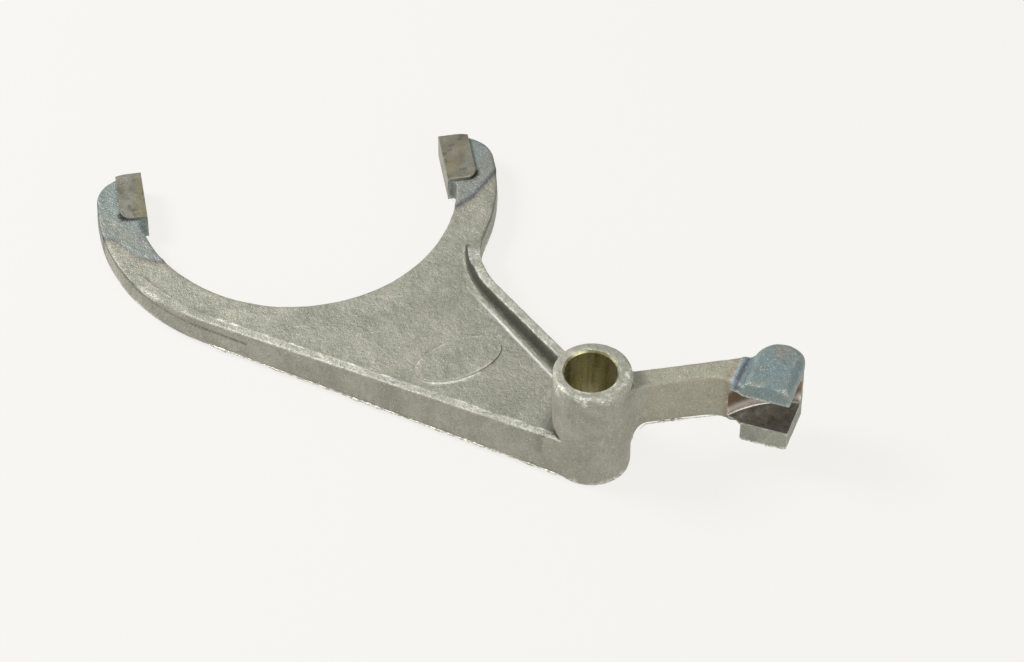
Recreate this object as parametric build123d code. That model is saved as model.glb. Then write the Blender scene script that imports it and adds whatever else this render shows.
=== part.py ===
"""Gearbox shift fork, cast in one piece and machined on its working faces.

The fork slides along a round selector rail. The rail passes through the hub, the
half-round mouth straddles the groove of a sliding sleeve, and the gate at the end of
the lever is where the selector finger moves the fork.

The origin is on the rail bore's axis, on the hub's lower face. +Z is the rail, +X runs
along the lever and +Y is the way the mouth opens. All lengths are millimetres.
"""

from build123d import *

import os
from math import asin, atan2, cos, degrees, radians, sin, sqrt, tan

# Rail bore and hub. The cast hub sits a little off the machined bore.
bore_diameter = 20.0
bore_chamfer = 0.7
hub_diameter = 30.0
hub_height = 48.8
hub_rim_radius = 1.5
hub_foot_chamfer = 0.8
core_shift_x = 0.6
core_shift_y = -0.2

# Fork mouth and arms, about the sliding sleeve's centre. The arms' outer circles are
# shifted from it, which widens the left arm and narrows the right arm towards the web.
sleeve_x = -91.7
sleeve_y = 150.0
mouth_radius = 64.0
arm_width = 16.4
left_arm_shift_x = 0.2
left_arm_shift_y = -3.0
right_arm_shift_x = 0.8
right_arm_shift_y = 2.5
arm_underside = 1.2
arm_thickness = 9.5
parting = 3.4
draft = 3.0
arm_edge_radius = 0.9
arm_foot_chamfer = 0.5
tip_reach = 18.0
tip_corner_radius = 13.5
heel_reach = 7.5
heel_radius = 1.0
heel_root_radius = 1.5

# Ground pads that ride in the sleeve's groove, on both faces of each tip
pad_gap = 121.0
pad_width_left = 10.4
pad_width_right = 12.0
pad_length = 24.8
pad_raise = 1.5
pad_underside = 0.4
pad_corner_radius = 4.5
pad_edge_chamfer = 0.3

# Web between the hub and the arms, with a shallow relief in its underside
near_edge_offset = 15.0
far_edge_offset = 14.4
far_edge_angle = 115.5
far_crotch_radius = 36.0
web_blend_radius = 9.0
relief_depth = 2.6
relief_draft = 20.0
relief_margin = 9.0
relief_corner_radius = 3.0

# Ribs along both edges of the web, falling from the hub towards the arms
rib_width = 5.6
rib_top_at_hub = 20.6
rib_root_radius = 2.4
rib_edge_radius = 1.0
rib_root_share = 0.55
rib_edge_share = 0.3
rib_end_height = 0.6
die_step = 0.1
near_rib_top_at_arm = 13.6
near_rib_end_angle = -151.0
near_rib_end_slope = 4.5
far_rib_top_at_arm = 16.8
far_rib_turn = 40.0
far_rib_end_slope = 17.0

# Blank oval pad on the web
oval_x = -42.5
oval_y = 48.0
oval_length = 37.0
oval_width = 20.0
oval_angle = 18.0
oval_raise = 0.45
oval_draft = 30.0

# Lever
lever_thickness = 8.4
lever_underside = 19.8
lever_top = 41.5
lever_edge_radius = 1.4
lever_front_blend = 12.0
lever_back_blend = 3.0
lever_under_blend = 5.0
lever_over_blend = 2.5

# Selector gate at the lever's end, turned about the rail's direction
gate_x = 63.6
gate_y = -15.8
gate_angle = -28.0
gate_width = 18.2
gate_top = 44.6
gate_underside = 12.6
gate_depth = 14.7
gate_back_width = 20.4
gate_flank_angle = 2.0
gate_corner_radius = 5.0
gate_back_blend = 12.0
gate_crown_radius = 3.0
gate_foot_chamfer = 0.8
gate_flare_start = 42.0

# Slot of the gate, cut by a disc cutter whose axis is parallel to the rail
slot_floor = 22.0
slot_height = 15.0
slot_cutter_radius = 40.0
slot_root_radius = 0.9
slot_root_x = 67.5
slot_root_y = -3.7

# Worked out from the sizes above
hub_radius = hub_diameter / 2
arm_outer_radius = mouth_radius + arm_width
arm_top = arm_underside + arm_thickness
sleeve_centre = Vector(sleeve_x, sleeve_y)
left_arm_centre = sleeve_centre + Vector(left_arm_shift_x, left_arm_shift_y)
right_arm_centre = sleeve_centre + Vector(right_arm_shift_x, right_arm_shift_y)
hub_centre = Vector(core_shift_x, core_shift_y)
touching = 0.001
overlap = 1.0
edge_clearance = 0.5
reach = 2 * (arm_outer_radius + abs(sleeve_x) + abs(sleeve_y))


def along(angle, length=1.0):
    """The plan vector of a length at an angle in degrees from +X."""
    return Vector(length * cos(radians(angle)), length * sin(radians(angle)))


def near_edge_normal():
    """Unit normal, away from the web, of its near edge, which is tangent to the arm."""
    span = left_arm_centre - hub_centre
    lean = degrees(asin((arm_outer_radius - near_edge_offset) / span.length))
    return along(degrees(atan2(span.Y, span.X)) + lean + 90)


def on_far_side(offset_out, radius):
    """The point on a parallel of the far edge at a radius from the right arm's centre.

    The parallel runs offset_out from the hub's centre, on the side away from the web,
    and the point is the nearer one to the hub.
    """
    direction = along(far_edge_angle)
    start = hub_centre + along(far_edge_angle - 90, offset_out)
    span = right_arm_centre - start
    foot = span.dot(direction)
    miss = sqrt(span.length**2 - foot**2)
    return start + direction * (foot - sqrt(radius**2 - miss**2))


def far_crotch():
    """Where the web's far edge meets the arm's outer circle."""
    return on_far_side(far_edge_offset, arm_outer_radius)


def arm_disc(side):
    """Plan of the disc under the left (-1) or right (+1) arm, out to the arm's outer wall."""
    centre = left_arm_centre if side < 0 else right_arm_centre
    half = Pos(sleeve_centre) * Rectangle(
        reach, reach, align=(Align.MAX if side < 0 else Align.MIN, Align.CENTER)
    )
    return Pos(centre) * Circle(arm_outer_radius) & half


def filled_outline():
    """Plan of the arms and the web, with the mouth still filled in."""
    normal = near_edge_normal()
    web = make_face(
        Polyline(
            hub_centre + normal * near_edge_offset,
            left_arm_centre + normal * arm_outer_radius,
            sleeve_centre,
            far_crotch(),
            hub_centre + along(far_edge_angle - 90, far_edge_offset),
            close=True,
        )
    )
    outline = arm_disc(-1) + arm_disc(1) + web
    corner = outline.vertices().sort_by_distance(far_crotch())[0]
    return fillet(corner, far_crotch_radius)


def tip_outline(side):
    """Plan of the left (-1) or right (+1) tip, with a square heel inside the round mouth."""
    inner = pad_gap / 2
    bar = Pos(sleeve_x + side * inner, sleeve_y + tip_reach) * Rectangle(
        arm_outer_radius,
        tip_reach + heel_reach,
        align=(Align.MIN if side > 0 else Align.MAX, Align.MAX),
    )
    block = bar & arm_disc(side)
    corner = block.vertices().sort_by(lambda vertex: side * vertex.X)[-2:].sort_by(Axis.Y)[-1]
    return fillet(corner, tip_corner_radius)


def plate_outline():
    """Plan of the arms and the web at the parting plane, with the mouth open."""
    mouth = Pos(sleeve_x, sleeve_y) * Circle(mouth_radius)
    beyond_heels = Pos(sleeve_x, sleeve_y - heel_reach) * Rectangle(
        reach, reach, align=(Align.CENTER, Align.MIN)
    )
    plate = filled_outline() - mouth - beyond_heels
    for side in (-1, 1):
        plate += tip_outline(side)
    root = sqrt(mouth_radius**2 - heel_reach**2)
    for side in (-1, 1):
        for across, radius in ((pad_gap / 2, heel_radius), (root, heel_root_radius)):
            heel = Vector(sleeve_x + side * across, sleeve_y - heel_reach)
            plate = fillet(plate.vertices().sort_by_distance(heel)[0], radius)
    return plate


def facing(body, way):
    """The face of a body that looks the most up (1) or down (-1)."""
    return body.faces().sort_by(lambda face: way * face.normal_at().Z)[-1]


def plate():
    """Arms and web: one body with draft both ways from the parting plane."""
    outline = Pos(0, 0, parting) * plate_outline()
    upper = extrude(outline, arm_top - parting, taper=draft)
    lower = extrude(outline, parting - arm_underside, dir=(0, 0, -1), taper=draft)
    body = upper + lower
    body = fillet(facing(body, 1).edges(), arm_edge_radius)
    return chamfer(facing(body, -1).edges(), arm_foot_chamfer)


def far_bend_centre():
    """Centre of the arc that joins the web's far edge to the arm."""
    return on_far_side(
        far_edge_offset + far_crotch_radius, arm_outer_radius + far_crotch_radius
    )


def bearing_of(vector):
    """Angle of a plan vector in degrees from +X."""
    return degrees(atan2(vector.Y, vector.X))


def root_radius(top):
    """Blend at the foot of a rib, kept within the rib's own height."""
    return min(rib_root_radius, rib_root_share * (top - arm_top))


def edge_radius(top):
    """Rounding of a rib's top edges, kept within the rib's own height."""
    return min(rib_edge_radius, rib_edge_share * (top - arm_top))


def rib_half(top, inner_side):
    """Half of the rib's section: (across, up) points from its middle to one foot."""
    lean = tan(radians(draft))
    half = rib_width / 2
    if not inner_side:
        outer = -half - die_step
        return [(outer, parting), (outer + lean * (top - parting), top)]
    foot = half - lean * (arm_top - parting)
    skirt = foot + root_radius(top)
    return [
        (half - lean * (top - parting), top),
        (foot, arm_top),
        (skirt, arm_top),
        (skirt, parting),
    ]


def rib_section(point, inward, top):
    """Upright section of a rib whose outer foot is at a plan point.

    The outer wall carries on the plate's own drafted wall. The inner wall has the same
    draft and a root blend onto the web.
    """
    section = make_face(
        Polyline(*rib_half(top, False), *rib_half(top, True), close=True)
    )
    by_height = section.vertices().group_by(Axis.Y)
    section = fillet(by_height[-1], edge_radius(top))
    root = section.vertices().group_by(Axis.Y)[1].sort_by(Axis.X)[0]
    section = fillet(root, root_radius(top))
    middle = point + inward * (rib_width / 2)
    level = Plane(origin=middle, x_dir=inward, z_dir=inward.cross(Vector(0, 0, 1)))
    return level * section


def above(point, slope, uphill):
    """Everything above a plane through a point, rising at a slope in degrees."""
    rise = tan(radians(slope))
    level = Plane(origin=point, z_dir=(-rise * uphill.X, -rise * uphill.Y, 1))
    return level * Box(4 * reach, 4 * reach, reach, align=(Align.CENTER, Align.CENTER, Align.MIN))


def rib_knob(middle, top):
    """Round end of a rib: its inner half-section turned about an upright axis."""
    half = make_face(Polyline((0, parting), (0, top), *rib_half(top, True), close=True))
    corner = half.vertices().group_by(Axis.Y)[-1].sort_by(Axis.X)[-1]
    half = fillet(corner, edge_radius(top))
    root = half.vertices().group_by(Axis.Y)[1].sort_by(Axis.X)[0]
    half = fillet(root, root_radius(top))
    inside = extrude(offset(filled_outline(), -edge_clearance), rib_top_at_hub)
    return Pos(middle) * revolve(Plane.XZ * half, Axis.Z) & inside


def rib(hub_foot, arm_foot, inward, arm_height, bend_centre, bend_angle, end_slope):
    """One rib: straight from the hub to the arm, then bent along the arm to its end."""
    straight = loft(
        [
            rib_section(hub_foot, inward, rib_top_at_hub),
            rib_section(arm_foot, inward, arm_height),
        ]
    )
    axis = Axis((bend_centre.X, bend_centre.Y, 0), (0, 0, 1))
    bend = revolve(rib_section(arm_foot, inward, arm_height), axis, bend_angle)
    end = Pos(bend_centre) * Rot(0, 0, bend_angle) * Pos(-bend_centre)
    middle = (end * Pos(arm_foot + inward * (rib_width / 2))).position
    bend += rib_knob(middle, arm_height)
    along_end = (middle - bend_centre).cross(Vector(0, 0, 1)).normalized()
    if bend_angle < 0:
        along_end = -along_end
    tip = middle - along_end * (rib_width / 2)
    tip = Vector(tip.X, tip.Y, arm_top + rib_end_height)
    return straight + (bend - above(tip, end_slope, along_end))


def near_rib():
    """Rib along the web's near edge and on round the left arm."""
    normal = near_edge_normal()
    return rib(
        hub_centre + normal * near_edge_offset,
        left_arm_centre + normal * arm_outer_radius,
        -normal,
        near_rib_top_at_arm,
        left_arm_centre,
        near_rib_end_angle - bearing_of(normal),
        near_rib_end_slope,
    )


def far_rib():
    """Rib along the web's far edge and round the bend onto the right arm."""
    normal = along(far_edge_angle - 90)
    centre = far_bend_centre()
    arm_foot = centre - normal * far_crotch_radius
    return rib(
        hub_centre + normal * far_edge_offset,
        arm_foot,
        -normal,
        far_rib_top_at_arm,
        centre,
        -far_rib_turn,
        far_rib_end_slope,
    )


def hub():
    """Plain cast boss with rounded rims."""
    boss = Pos(hub_centre) * Cylinder(
        hub_radius, hub_height, align=(Align.CENTER, Align.CENTER, Align.MIN)
    )
    boss = fillet(boss.edges().group_by(Axis.Z)[-1], hub_rim_radius)
    return chamfer(boss.edges().group_by(Axis.Z)[0], hub_foot_chamfer)


def hub_blend():
    """Concave ring where the web meets the hub, kept between the two ribs."""
    inner = hub_radius - overlap
    outer = hub_radius + web_blend_radius
    crest = arm_top + web_blend_radius
    profile = make_face(
        Polyline((inner, parting), (outer, parting), (outer, arm_top))
        + RadiusArc((outer, arm_top), (hub_radius, crest), web_blend_radius)
        + Polyline((hub_radius, crest), (inner, crest), (inner, parting))
    )
    ring = Pos(hub_centre) * revolve(Plane.XZ * profile, Axis.Z)
    return ring & extrude(offset(filled_outline(), -rib_width / 2), hub_height)


def on_circle(shape, centre, radius):
    """The vertices of a plan shape that lie on a circle."""
    return shape.vertices().filter_by(
        lambda vertex: abs((vertex.center() - centre).length - radius) < touching
    )


def underside_relief():
    """Shallow hollow in the web's underside, an even margin inside its outline."""
    plan = offset(filled_outline(), -relief_margin)
    cuts = ((sleeve_centre, arm_outer_radius), (hub_centre, hub_radius + relief_margin))
    for centre, radius in cuts:
        plan -= Pos(centre) * Circle(radius)
        for side in (Axis.X, -Axis.X):
            corner = on_circle(plan, centre, radius).sort_by(side)[0]
            plan = fillet(corner, relief_corner_radius)
    return extrude(Pos(0, 0, arm_underside) * plan, relief_depth, taper=relief_draft)


def oval_pad():
    """Low oval pad on the web, left blank."""
    plan = Pos(oval_x, oval_y) * Rot(0, 0, oval_angle) * Ellipse(oval_length / 2, oval_width / 2)
    return extrude(Pos(0, 0, arm_top - oval_raise) * plan, 2 * oval_raise, taper=oval_draft)


def gate_frame():
    """Front-left corner of the gate and its two plan directions, along and back."""
    sideways = along(gate_angle)
    backward = along(gate_angle + 90)
    front_left = Vector(gate_x, gate_y) - sideways * (gate_width / 2)
    return front_left, sideways, backward


def gate_nose():
    """Centre and radius of the gate's round back, flush with the left side."""
    front_left, sideways, backward = gate_frame()
    radius = gate_back_width / 2
    return front_left + sideways * radius + backward * gate_depth, radius


def gate_outline():
    """Plan of the gate: a bar turned about the rail's direction, with a round back.

    The right side leans out by the flank angle and cuts the round back short, and the
    corner between them is rounded.
    """
    front_left, sideways, backward = gate_frame()
    front_right = front_left + sideways * gate_width
    centre, radius = gate_nose()
    flank = along(gate_angle + 90 - gate_flank_angle)
    length = gate_depth + 2 * radius
    wedge = make_face(
        Polyline(
            front_left,
            front_right,
            front_right + flank * length,
            front_left + backward * length,
            close=True,
        )
    )
    middle = Plane(origin=centre, x_dir=sideways, z_dir=(0, 0, 1))
    ahead = middle * Rectangle(4 * radius, 4 * radius, align=(Align.CENTER, Align.MAX))
    plan = wedge & (ahead + Pos(centre) * Circle(radius))
    corner = plan.vertices().sort_by(lambda vertex: (vertex.center() - front_left).dot(backward))
    corner = corner[-2:].sort_by(lambda vertex: (vertex.center() - front_left).dot(sideways))[-1]
    return fillet(corner, gate_corner_radius)


def gate_block():
    """Cast block that carries the two lugs of the gate."""
    block = extrude(Pos(0, 0, gate_underside) * gate_outline(), gate_top - gate_underside)
    front_left, sideways, backward = gate_frame()
    front = Plane(origin=front_left, z_dir=-backward)
    top = block.edges().group_by(Axis.Z)[-1]
    top = top.filter_by(lambda edge: abs(front.to_local_coords(edge.center()).Z) > overlap)
    block = fillet(top, gate_crown_radius)
    bottom = block.edges().group_by(Axis.Z)[0]
    bottom = bottom.filter_by(lambda edge: abs(front.to_local_coords(edge.center()).Z) > overlap)
    return chamfer(bottom, gate_foot_chamfer)


def lever():
    """Bar from the hub to the gate, blended into the hub and flared into the gate."""
    half = lever_thickness / 2
    nose, nose_radius = gate_nose()
    bar = Pos(core_shift_x, 0) * Rectangle(
        nose.X - core_shift_x, lever_thickness, align=(Align.MIN, Align.CENTER)
    )
    plan = bar + Pos(hub_centre) * Circle(hub_radius) + gate_outline()
    run = sqrt(hub_radius**2 - half**2)
    for side, blend in ((-1, lever_front_blend), (1, lever_back_blend)):
        root = Vector(core_shift_x + run, side * half)
        plan = fillet(plan.vertices().sort_by_distance(root)[0], blend)
    run = sqrt(nose_radius**2 - (half - nose.Y) ** 2)
    back = plan.vertices().sort_by_distance(Vector(nose.X - run, half))[0]
    plan = fillet(back, gate_back_blend)
    front_left, sideways, backward = gate_frame()
    neck = front_left + backward * ((-half - front_left.Y) / backward.Y)
    start = Vector(gate_flare_start, -half)
    edge = TangentArc(start, front_left, tangent=(1, 0))
    plan += make_face(edge + Polyline(front_left, neck + Vector(overlap, overlap), start))
    low = lever_underside - lever_under_blend
    high = lever_top + lever_over_blend
    body = extrude(Pos(0, 0, low) * plan, high - low) & lever_profile()
    for level in (lever_top, lever_underside):
        rims = body.edges().filter_by(lambda edge: is_lever_rim(edge, level))
        body = fillet(rims, lever_edge_radius)
    return body


def is_lever_rim(edge, level):
    """Whether an edge is one of the lever's long rims at a level."""
    middle = edge.center()
    hub_right = hub_radius + core_shift_x
    return (
        abs(middle.Z - level) < touching
        and edge.length > lever_edge_radius
        and hub_right < middle.X < gate_x - overlap
    )


def lever_profile():
    """Side view of hub, lever and gate: limits the bar and blends its roots."""
    depth = 4 * gate_width
    hub_right = core_shift_x + hub_radius
    bar = Pos(0, lever_underside) * Rectangle(
        gate_nose()[0].X, lever_top - lever_underside, align=(Align.MIN, Align.MIN)
    )
    side = bar + Rectangle(hub_right, hub_height, align=(Align.MIN, Align.MIN))
    for height, blend in ((lever_underside, lever_under_blend), (lever_top, lever_over_blend)):
        root = Vector(hub_right, height)
        side = fillet(side.vertices().sort_by_distance(root)[0], blend)
    return extrude(Plane.XZ * side, depth, both=True)


def slot_cutter():
    """Disc that cuts the gate's slot; its rounded rims leave the slot's root radii."""
    disc = Pos(slot_root_x, slot_root_y - slot_cutter_radius, slot_floor) * Cylinder(
        slot_cutter_radius, slot_height, align=(Align.CENTER, Align.CENTER, Align.MIN)
    )
    return fillet(disc.edges().group_by(Axis.Z)[0] + disc.edges().group_by(Axis.Z)[-1], slot_root_radius)


def bore_cutter():
    """The rail's bore with a chamfered upper mouth, turned about the rail's axis."""
    radius = bore_diameter / 2
    flare = radius + bore_chamfer + overlap
    half = make_face(
        Polyline(
            (0, -overlap),
            (radius, -overlap),
            (radius, hub_height - bore_chamfer),
            (flare, hub_height + overlap),
            (0, hub_height + overlap),
            close=True,
        )
    )
    return revolve(Plane.XZ * half, Axis.Z)


def pad(side):
    """Ground pad of one tip: square to the mouth, proud of both faces of the arm."""
    inner = pad_gap / 2
    width = pad_width_right if side > 0 else pad_width_left
    plan = Pos(inner, tip_reach) * Rectangle(width, pad_length, align=(Align.MIN, Align.MAX))
    plan = fillet(plan.vertices().sort_by(Axis.Y)[:2].sort_by(Axis.X)[-1], pad_corner_radius)
    if side < 0:
        plan = mirror(plan, Plane.YZ)
    plan = (Pos(sleeve_centre) * plan) & tip_outline(side)
    block = extrude(Pos(0, 0, pad_underside) * plan, arm_top + pad_raise - pad_underside)
    rims = block.edges().group_by(Axis.Z)
    return chamfer(rims[0] + rims[-1], pad_edge_chamfer)


def shift_fork():
    """The finished casting."""
    body = plate() + near_rib() + far_rib() + hub() + hub_blend() + oval_pad()
    body += lever() + gate_block()
    body -= underside_relief()
    body -= slot_cutter()
    for side in (-1, 1):
        body += pad(side)
    return body - bore_cutter()


if __name__ == "__main__":
    os.makedirs("parts", exist_ok=True)
    fork = shift_fork()
    print("shift_fork", fork.volume, fork.is_valid, len(fork.solids()), len(fork.faces()), fork.bounding_box())
    export_step(fork, "parts/shift_fork.step")
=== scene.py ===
"""Picture scene of a cast gearbox shift fork: skin, flash, light, floor and camera."""

import logging
from dataclasses import dataclass
from enum import Enum

import bmesh
import bpy
import numpy as np
from mathutils import Matrix, Vector


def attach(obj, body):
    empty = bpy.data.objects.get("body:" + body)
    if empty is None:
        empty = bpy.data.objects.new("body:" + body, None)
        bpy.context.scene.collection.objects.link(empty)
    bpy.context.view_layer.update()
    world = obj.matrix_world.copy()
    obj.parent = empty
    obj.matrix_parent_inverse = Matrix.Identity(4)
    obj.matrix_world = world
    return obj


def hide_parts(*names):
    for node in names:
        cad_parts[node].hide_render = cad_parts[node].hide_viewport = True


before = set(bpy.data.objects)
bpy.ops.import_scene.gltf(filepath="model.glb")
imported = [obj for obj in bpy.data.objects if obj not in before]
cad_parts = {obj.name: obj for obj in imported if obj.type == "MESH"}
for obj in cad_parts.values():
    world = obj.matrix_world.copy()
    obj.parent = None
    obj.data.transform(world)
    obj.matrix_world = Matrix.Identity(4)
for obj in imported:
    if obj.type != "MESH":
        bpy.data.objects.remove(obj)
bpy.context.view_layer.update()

LOG = logging.getLogger("shift_fork_scene")
MM = 0.001
Socket = bpy.types.NodeSocket


class Zone(Enum):
    """The finishes of the casting's faces, in the order of the skin's material slots."""

    CAST = 0
    PAD = 1
    BORE = 2
    SLOT = 3


@dataclass(frozen=True)
class ForkSizes:
    """The fork's own places that the finishes follow, in millimetres."""

    bore_radius: float = 10.0
    bore_chamfer: float = 0.72
    sleeve_x: float = -91.7
    sleeve_y: float = 150.0
    plate_top: float = 10.7
    pad_foot: float = 0.4
    pad_reach: float = 9.0
    pad_half_gap: float = 60.5
    gate_from: float = 45.0
    slot_low: float = 22.0
    slot_high: float = 37.0
    slot_root_x: float = 67.5
    slot_root_y: float = -3.7
    cutter_radius: float = 40.0


@dataclass(frozen=True)
class Marks:
    """Places of tints, wear and shadow on the casting.

    They are in millimetres, the directions have unit length, and the oval's turn is in
    radians.
    """

    tips_from: float = 100.0
    tinted_from: float = 40.0
    web_low: float = 10.0
    web_high: float = 12.0
    crest_low: float = 12.6
    crest_high: float = 22.0
    rib_place: tuple[float, float] = (0.6, -0.2)
    rib_across: tuple[float, float] = (0.9026, 0.4305)
    wall_place: tuple[float, float] = (-8.2, -12.4)
    wall_across: tuple[float, float] = (-0.585, -0.811)
    oval_place: tuple[float, float] = (-42.5, 48.0)
    oval_radii: tuple[float, float] = (18.5, 10.0)
    oval_turn: float = 0.314


SIZES = ForkSizes()
MARKS = Marks()

# Corners of the bent lines where tints begin: X and Y on the arms, Y and X at the neck.
LEFT_HEAT_LINE = (
    (-170.0, 135.9), (-165.2, 132.8), (-160.8, 126.0), (-157.2, 122.6), (-150.0, 119.2)
)
RIGHT_HEAT_LINE = ((-29.7, 129.7), (-22.5, 134.1), (-19.0, 138.0), (-15.0, 142.5), (-11.5, 146.4))
NECK_LINE = ((-28.0, 50.0), (-15.0, 47.5), (2.4, 58.5), (10.0, 62.0))


def lattice_noise(points: np.ndarray, cell: float, seed: int) -> np.ndarray:
    """Smooth value noise in space.

    Random values stand on the corners of cubes, and a point takes the mix of its cube's
    eight corners, weighted by the smooth step 3t^2 - 2t^3 along each direction.

    Args:
        points: Places, one row each, in millimetres.
        cell: Edge length of the cubes in millimetres.
        seed: Seed of the random values.

    Returns:
        One value per place, from -1 to 1.
    """
    side = 48
    table = np.random.default_rng(seed).uniform(-1.0, 1.0, (side, side, side))
    scaled = points / cell + 1000.0
    base = np.floor(scaled).astype(np.int64)
    part = scaled - base
    weight = part * part * (3.0 - 2.0 * part)
    total = np.zeros(len(points))
    for step in np.ndindex(2, 2, 2):
        corner = np.array(step)
        share = np.prod(np.where(corner == 1, weight, 1.0 - weight), axis=1)
        place = (base + corner) % side
        total += share * table[place[:, 0], place[:, 1], place[:, 2]]
    return total


def smooth_step(low: float, high: float, value: np.ndarray) -> np.ndarray:
    """Ramp from 0 at low to 1 at high, with level ends."""
    share = np.clip((value - low) / (high - low), 0.0, 1.0)
    return share * share * (3.0 - 2.0 * share)


def band(value: np.ndarray, centre: float, width: float) -> np.ndarray:
    """A bell over a value: exp of minus the square of its distance in widths."""
    return np.exp(-(((value - centre) / width) ** 2))


def beside(
    x: np.ndarray, y: np.ndarray, place: tuple[float, float], way: tuple[float, float]
) -> np.ndarray:
    """How far points lie from a place along a level unit direction."""
    return (x - place[0]) * way[0] + (y - place[1]) * way[1]


def patches(points: np.ndarray, cell: float, seed: int, low: float, high: float) -> np.ndarray:
    """Random patches from 0 to 1: smooth noise through a ramp."""
    return smooth_step(low, high, lattice_noise(points, cell, seed))


def mesh_arrays(source: bpy.types.Mesh) -> tuple[np.ndarray, np.ndarray]:
    """Points and triangles of a mesh, with the points that share a place made one.

    Args:
        source: A mesh of triangles in metres.

    Returns:
        Points in millimetres and rows of three point numbers.
    """
    points = np.empty(3 * len(source.vertices))
    source.vertices.foreach_get("co", points)
    corners = np.empty(len(source.loops), dtype=np.int64)
    source.loops.foreach_get("vertex_index", corners)
    points = points.reshape(-1, 3) / MM
    _, first, merged = np.unique(
        np.round(points, 3), axis=0, return_index=True, return_inverse=True
    )
    triangles = merged.reshape(-1)[corners].reshape(-1, 3)
    kept = (
        (triangles[:, 0] != triangles[:, 1])
        & (triangles[:, 1] != triangles[:, 2])
        & (triangles[:, 2] != triangles[:, 0])
    )
    return points[first], triangles[kept]


def split_long_edges(
    points: np.ndarray, triangles: np.ndarray, longest: float
) -> tuple[np.ndarray, np.ndarray]:
    """One pass that halves every edge longer than a limit.

    Each long edge gets one middle point, shared by its two triangles. A triangle is turned
    so that its long edges come first, and then cut in two, three or four.

    Args:
        points: Points in millimetres.
        triangles: Rows of three point numbers.
        longest: The limit in millimetres.

    Returns:
        The new points and triangles.
    """
    ends = np.sort(triangles[:, [[0, 1], [1, 2], [2, 0]]], axis=2).reshape(-1, 2)
    edges, index = np.unique(ends, axis=0, return_inverse=True)
    span = np.linalg.norm(points[edges[:, 0]] - points[edges[:, 1]], axis=1)
    is_long = span > longest
    number = np.full(len(edges), -1)
    number[is_long] = len(points) + np.arange(np.count_nonzero(is_long))
    middle = number[index.reshape(-1)].reshape(-1, 3)
    halves = points[edges[is_long]].mean(axis=1)
    count = (middle >= 0).sum(axis=1)
    after_short = (np.argmin(middle, axis=1) + 1) % 3
    start = np.where(count == 1, np.argmax(middle >= 0, axis=1), after_short)
    turn = (start[:, None] + np.arange(3)) % 3
    corner = np.take_along_axis(triangles, turn, axis=1)
    mid = np.take_along_axis(middle, turn, axis=1)
    a, b, c = corner.T
    ab, bc, ca = mid.T
    one, two, three = count == 1, count == 2, count == 3
    rows = [
        triangles[count == 0],
        np.stack([a, ab, c], axis=1)[one],
        np.stack([ab, b, c], axis=1)[one],
        np.stack([ab, b, bc], axis=1)[two],
        np.stack([a, ab, bc], axis=1)[two],
        np.stack([a, bc, c], axis=1)[two],
        np.stack([a, ab, ca], axis=1)[three],
        np.stack([ab, b, bc], axis=1)[three],
        np.stack([ca, bc, c], axis=1)[three],
        np.stack([ab, bc, ca], axis=1)[three],
    ]
    return np.vstack([points, halves]), np.vstack(rows)


def face_normals(points: np.ndarray, triangles: np.ndarray) -> np.ndarray:
    """Unit normals of triangles, from the cross product of two sides.

    Args:
        points: Points in millimetres.
        triangles: Rows of three point numbers.

    Returns:
        One unit row per triangle.
    """
    a, b, c = (points[triangles[:, k]] for k in range(3))
    normal = np.cross(b - a, c - a)
    return normal / np.maximum(np.linalg.norm(normal, axis=1, keepdims=True), 1e-12)


def point_normals(points: np.ndarray, triangles: np.ndarray) -> np.ndarray:
    """Unit normals of points: the sum of the area normals of the triangles round each.

    Args:
        points: Points in millimetres.
        triangles: Rows of three point numbers.

    Returns:
        One unit row per point.
    """
    a, b, c = (points[triangles[:, k]] for k in range(3))
    normal = np.cross(b - a, c - a)
    total = np.zeros_like(points)
    for k in range(3):
        np.add.at(total, triangles[:, k], normal)
    return total / np.maximum(np.linalg.norm(total, axis=1, keepdims=True), 1e-12)


def neighbour_mean(values: np.ndarray, triangles: np.ndarray, passes: int) -> np.ndarray:
    """Values smoothed over the mesh: each pass mixes a point with its neighbours' mean.

    Args:
        values: One number per point.
        triangles: Rows of three point numbers.
        passes: How often the mix is made.

    Returns:
        The smoothed numbers.
    """
    pairs = np.vstack([triangles[:, [0, 1]], triangles[:, [1, 2]], triangles[:, [2, 0]]])
    count = np.bincount(pairs.reshape(-1), minlength=len(values)).astype(float)
    for _ in range(passes):
        total = np.bincount(pairs[:, 0], values[pairs[:, 1]], minlength=len(values))
        total += np.bincount(pairs[:, 1], values[pairs[:, 0]], minlength=len(values))
        values = 0.5 * values + 0.5 * total / np.maximum(count, 1.0)
    return values


def curvature(points: np.ndarray, triangles: np.ndarray, normals: np.ndarray) -> np.ndarray:
    """How far a surface bends: the neighbours' mean place along the normal.

    It is positive in hollows and negative on edges, in millimetres, and smoothed twice.

    Args:
        points: Points in millimetres.
        triangles: Rows of three point numbers.
        normals: The points' unit normals.

    Returns:
        One number per point.
    """
    pairs = np.vstack([triangles[:, [0, 1]], triangles[:, [1, 2]], triangles[:, [2, 0]]])
    count = np.maximum(np.bincount(pairs.reshape(-1), minlength=len(points)), 1)
    mean = np.zeros_like(points)
    np.add.at(mean, pairs[:, 0], points[pairs[:, 1]])
    np.add.at(mean, pairs[:, 1], points[pairs[:, 0]])
    mean /= count[:, None]
    bend = np.einsum("ij,ij->i", mean - points, normals)
    return neighbour_mean(bend, triangles, 2)


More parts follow.
